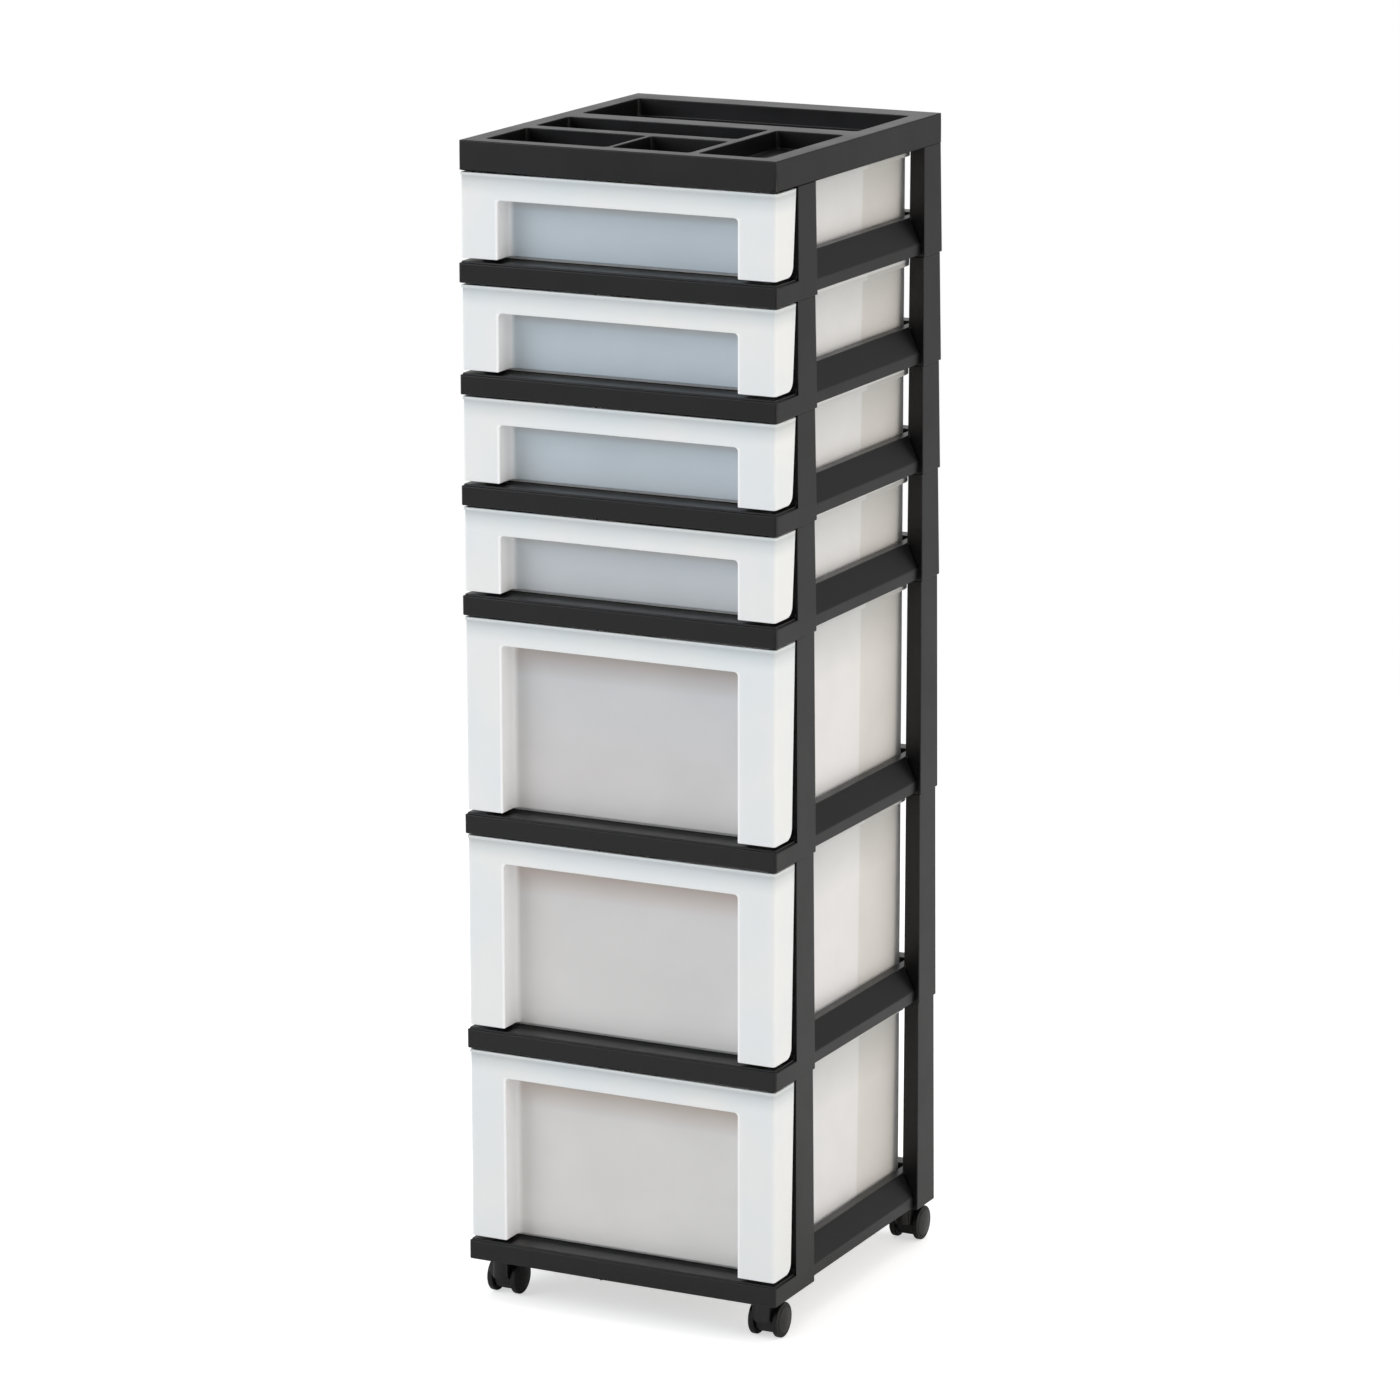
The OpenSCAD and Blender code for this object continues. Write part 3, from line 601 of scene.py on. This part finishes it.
# casters: twin wheels on a housing, all in millimetres from each wheel's inner face or the stem's foot
wheel = dict(
    radius=16, width=5.4, dome=1.8, edge=1.3,
    edgeShare=0.98,  # how much of the outer edge's radius is used, so that the two arcs of the tread don't meet
    disc=12.3, groove=0.45, rim=13.0, hub=4.5, recess=1.8, bore=2.06, floor=1.0,
    lip=0.3, corner=0.5, mouth=0.2,  # radii of the recess's edges, of its corners and of the bore's mouth
    discSteps=24, grooveSteps=9, rimSteps=5,
)
stem = dict(
    radius=4.0, collar=6.5, collarHeight=1.8, chamfer=1, segments=48,
    edge=0.4, root=0.2, tip=0.3,  # radii of the outer edges, where the collar meets the shank, and of the tip
)
housingEdges = dict(outward=0.9, inward=0.5, sharp=30)


def wheelProfile(w):
    # from the middle of the outer face: the dome s = width + dome*(1 - (r/face)^2), a round groove, the rim and tread,
    # then the inner face with its recess, the hub and the blind bore
    face = w["radius"] - w["edge"]
    r = np.linspace(0, w["disc"], w["discSteps"])
    dome = np.stack([r, w["width"] + w["dome"] * (1 - (r / face) ** 2)], 1)
    u = np.linspace(math.pi, 2 * math.pi, w["grooveSteps"])[1:-1]
    middle = w["disc"] + w["groove"]
    level = w["width"] + w["dome"] * (1 - (middle / face) ** 2)
    groove = np.stack([middle + w["groove"] * np.cos(u), level + w["groove"] * np.sin(u)], 1)
    r = np.linspace(middle + w["groove"], face, w["rimSteps"])
    rim = np.stack([r, w["width"] + w["dome"] * (1 - (r / face) ** 2)], 1)
    back = roundedPath([
        (face, w["width"], 0), (w["radius"], w["width"], w["edge"] * w["edgeShare"]), (w["radius"], 0, w["edge"]),
        (w["rim"], 0, w["lip"]), (w["rim"], w["recess"], w["corner"]),
        (w["hub"], w["recess"], w["corner"]), (w["hub"], 0, w["lip"]),
        (w["bore"], 0, w["mouth"]), (w["bore"], w["width"] - w["floor"], 0), (0, w["width"] - w["floor"], 0),
    ])
    return np.concatenate([dome, groove, rim, back[1:]])


def stemProfile(s, tall, collar):
    # from the foot's middle up the shank, round the collar, whose top is at that height, to the chamfered tip
    return roundedPath([
        (0, 0, 0), (s["radius"], 0, s["edge"]), (s["radius"], collar - s["collarHeight"], s["root"]),
        (s["collar"], collar - s["collarHeight"], s["edge"]), (s["collar"], collar, s["edge"]),
        (s["radius"], collar, s["root"]), (s["radius"], tall - s["chamfer"], s["tip"]),
        (s["radius"] - s["chamfer"], tall, s["tip"]), (0, tall, 0),
    ])


def makeCaster(corner):
    name = "caster" + corner.title().replace("_", "")
    node = f"caster_{corner}_"
    housing = softCopy(node + "housing", name + "Housing", housingEdges, materials=[casterNylon])
    standFor(housing, node + "housing")
    for side, way in (("left", -1), ("right", 1)):
        low, high = (Vector(v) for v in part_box(f"{node}{side}_wheel"))
        place = ((high.x if way < 0 else low.x), (low.y + high.y) / 2, (low.z + high.z) / 2)
        piece = turned(f"{name}{side.title()}Wheel", wheelProfile(wheel), place, (way, 0, 0))
        piece.data.materials.append(casterNylon)
        piece.data.materials.append(treadNylon)
        # the rim and tread are the faces that lie outside the disc's groove
        middles = np.empty(len(piece.data.polygons) * 3)
        piece.data.polygons.foreach_get("center", middles)
        out = np.linalg.norm(middles.reshape(-1, 3)[:, 1:] - np.array(place[1:]), axis=1) > wheel["disc"] * mm
        piece.data.polygons.foreach_set("material_index", out.astype(np.int32))
        standFor(piece, f"{node}{side}_wheel")
    low, high = (Vector(v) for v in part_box(node + "stem"))
    tall = (high.z - low.z) / mm
    collar = tall - (high.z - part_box("frame_7")[0][2]) / mm
    place = ((low.x + high.x) / 2, (low.y + high.y) / 2, low.z)
    shank = turned(name + "Stem", stemProfile(stem, tall, collar), place, (0, 0, 1), stem["segments"])
    shank.data.materials.append(zincSteel)
    standFor(shank, node + "stem")
    axle = frame["nodes"][node + "axle"].data
    axle.materials.clear()
    axle.materials.append(zincSteel)


for corner in ("front_left", "front_right", "rear_left", "rear_right"):
    makeCaster(corner)
print("casters made")

# studio: a pale floor, a plain white surround and three softboxes; places and sizes in metres, power in watts
studio = dict(
    floorSize=30.0, floorSteps=9, board="#e6e6e6",
    floorLift=0.55,  # how much light the camera sees the board give off
    whiteSpan=(1.2, 2.6),  # metres from the tower where the floor that the camera sees turns plain white
    worldLevel=0.66, roomLevel=0.31, backdropLevel=0.8,
    backdropWay=(-0.446, 0.895, 0),  # from the tower to the backdrop
    backdropSpan=(0.7, 0.9),  # the cosine to that way over which the room turns to backdrop
    softboxes=(  # name, place, point it faces, size, power and colour
        ("frontSoftbox", (-2.3, -2.5, 2.3), (0, 0, 0.45), (2.2, 2.2), 48, "#f4f7ff"),
        ("sideSoftbox", (3.4, -0.2, 1.2), (0, 0, 0.4), (2.2, 2.2), 40, "#fff5ec"),
        ("topSoftbox", (0.2, 0.4, 3.4), (0, 0, 0.5), (2.4, 2.4), 22, "#ffffff"),
    ),
)


def makeFloor(s):
    # a flat sheet under the wheels: a grid of two parameters across x and y
    count = s["floorSteps"]
    side = np.linspace(-s["floorSize"], s["floorSize"], count)
    x, y = np.meshgrid(side, side)
    points = np.stack([x.ravel(), y.ravel(), np.zeros(x.size)], 1)
    i = np.arange(count - 1)[:, None] * count + np.arange(count - 1)[None, :]
    faces = np.stack([i, i + 1, i + count + 1, i + count], -1).reshape(-1, 4)
    data = bpy.data.meshes.new("studioFloor")
    data.from_pydata(points.tolist(), [], faces.tolist())
    obj = bpy.data.objects.new("studioFloor", data)
    bpy.context.scene.collection.objects.link(obj)
    data.materials.append(makeBoard(s))


def makeBoard(s):
    # White painted board. What the camera sees of it is lifted to white where light falls, and keeps the soft shadow;
    # far from the tower it is plain white, so that it meets the backdrop without a line.
    material = bpy.data.materials.new("whitePaintedBoard")
    material.use_nodes = True
    tree = material.node_tree
    tree.nodes.clear()
    board = addNode(tree, "ShaderNodeBsdfDiffuse", {"Color": toLinear(s["board"])})
    lift = addNode(tree, "ShaderNodeEmission", {"Color": (1, 1, 1, 1), "Strength": s["floorLift"]})
    near = addNode(tree, "ShaderNodeAddShader", links={0: (board, 0), 1: (lift, 0)})
    white = addNode(tree, "ShaderNodeEmission", {"Color": (1, 1, 1, 1), "Strength": 1.0})
    place = addNode(tree, "ShaderNodeTexCoord")
    reach = addNode(tree, "ShaderNodeVectorMath", {"operation": "LENGTH"}, {0: (place, "Object")})
    far = spread(tree, reach, "Value", s["whiteSpan"], (0.0, 1.0))
    seen = addNode(tree, "ShaderNodeMixShader", links={"Fac": (far, "Result"), 1: (near, 0), 2: (white, 0)})
    path = addNode(tree, "ShaderNodeLightPath")
    pick = addNode(tree, "ShaderNodeMixShader", links={"Fac": (path, "Is Camera Ray"), 1: (board, 0), 2: (seen, 0)})
    addNode(tree, "ShaderNodeOutputMaterial", links={"Surface": (pick, 0)})
    return material


def makeWorld(s):
    # Plain white for the camera and see-through rays, and a dimmer white for what lights the object. Its gloss
    # reflects the pale backdrop behind it, and a dim room on the other sides.
    world = bpy.data.worlds.new("studioWorld")
    bpy.context.scene.world = world
    world.use_nodes = True
    tree = world.node_tree
    tree.nodes.clear()
    path = addNode(tree, "ShaderNodeLightPath")
    seen = addNode(tree, "ShaderNodeMath", {"operation": "MAXIMUM"},
                   {0: (path, "Is Camera Ray"), 1: (path, "Is Transmission Ray")})
    place = addNode(tree, "ShaderNodeTexCoord")
    facing = addNode(tree, "ShaderNodeVectorMath", {"operation": "DOT_PRODUCT", 1: s["backdropWay"]},
                     {0: (place, "Generated")})
    around = spread(tree, facing, "Value", s["backdropSpan"], (s["roomLevel"], s["backdropLevel"]))
    lit = addNode(tree, "ShaderNodeMapRange", {"To Min": s["worldLevel"]},
                  {"Value": (path, "Is Glossy Ray"), "To Max": (around, "Result")})
    level = addNode(tree, "ShaderNodeMapRange", {"To Max": 1.0}, {"Value": (seen, 0), "To Min": (lit, "Result")})
    sky = addNode(tree, "ShaderNodeBackground", {"Color": (1, 1, 1, 1)}, {"Strength": (level, "Result")})
    addNode(tree, "ShaderNodeOutputWorld", links={"Surface": (sky, 0)})


def addSoftbox(name, place, aim, size, power, code):
    # a large rectangular lamp that faces the point aim
    data = bpy.data.lights.new(name, "AREA")
    data.shape = "RECTANGLE"
    data.size, data.size_y = size
    data.energy = power
    data.color = toLinear(code)[:3]
    obj = bpy.data.objects.new(name, data)
    direction = Vector(aim) - Vector(place)
    obj.rotation_euler = direction.to_track_quat("-Z", "Y").to_euler()
    obj.location = place
    bpy.context.scene.collection.objects.link(obj)


makeFloor(studio)
makeWorld(studio)
for softbox in studio["softboxes"]:
    addSoftbox(*softbox)
bpy.context.scene.view_settings.view_transform = "Standard"
print("studio lit")
